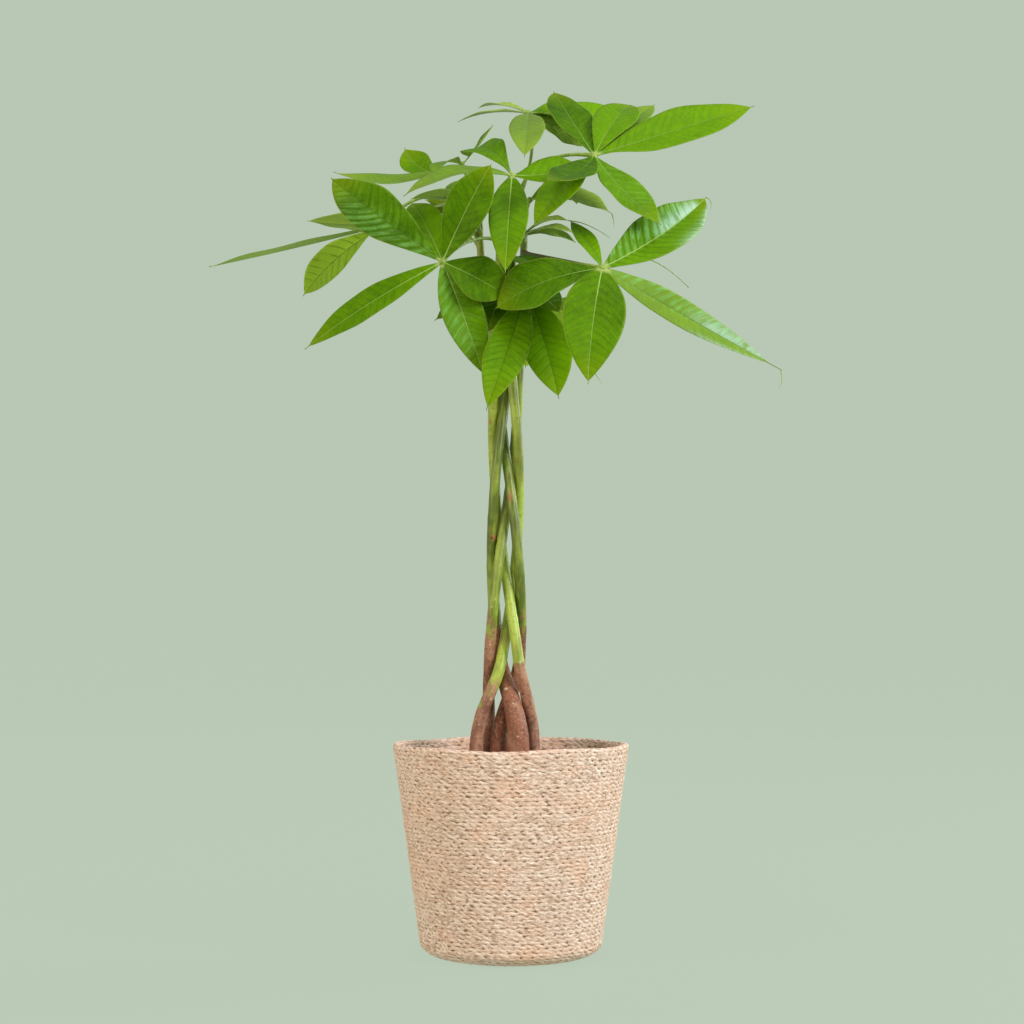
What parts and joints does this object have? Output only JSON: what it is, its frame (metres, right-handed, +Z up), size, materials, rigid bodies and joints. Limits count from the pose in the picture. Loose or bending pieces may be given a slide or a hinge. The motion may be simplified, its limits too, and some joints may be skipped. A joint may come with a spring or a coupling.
{
  "type": "potted money tree",
  "caption": "Potted money tree: slim stems braided into one trunk carry palmate leaves with arched leaflets, in a plastic nursery pot inside a tapered woven seagrass basket.",
  "frame": {"origin": "centre of the basket's flat base, on the surface it stands on", "axes": "+Z up along the trunk, -Y towards the front that the picture shows, +X to the right seen from the front"},
  "size_m": [0.5166, 0.321, 0.7984],
  "materials": {
    "seagrass": "matte twisted seagrass, natural tan",
    "pot_plastic": "matte black",
    "soil": "rough, dark brown potting soil",
    "bark": "satin green bark, brown and rough near the soil",
    "leaf": "satin, bright to mid green"
  },
  "bodies": {
    "root": {"basket": "seagrass", "nursery_pot": "pot_plastic", "soil": "soil", "stem_right": "bark", "stem_left": "bark", "stem_rear": "bark", "stem_inner": "bark", "stem_thick": "bark", "leaf_front_left": "leaf", "leaf_front_right": "leaf", "leaf_upper_right": "leaf", "leaf_centre": "leaf", "leaf_top": "leaf", "leaf_upper_left": "leaf", "leaf_left": "leaf", "leaf_lower_centre": "leaf", "leaf_young_right": "leaf", "leaf_young_left": "leaf", "leaf_inner_right": "leaf", "leaf_inner": "leaf", "leaf_back_low": "leaf", "leaf_back_left": "leaf"}
  },
  "joints": []
}
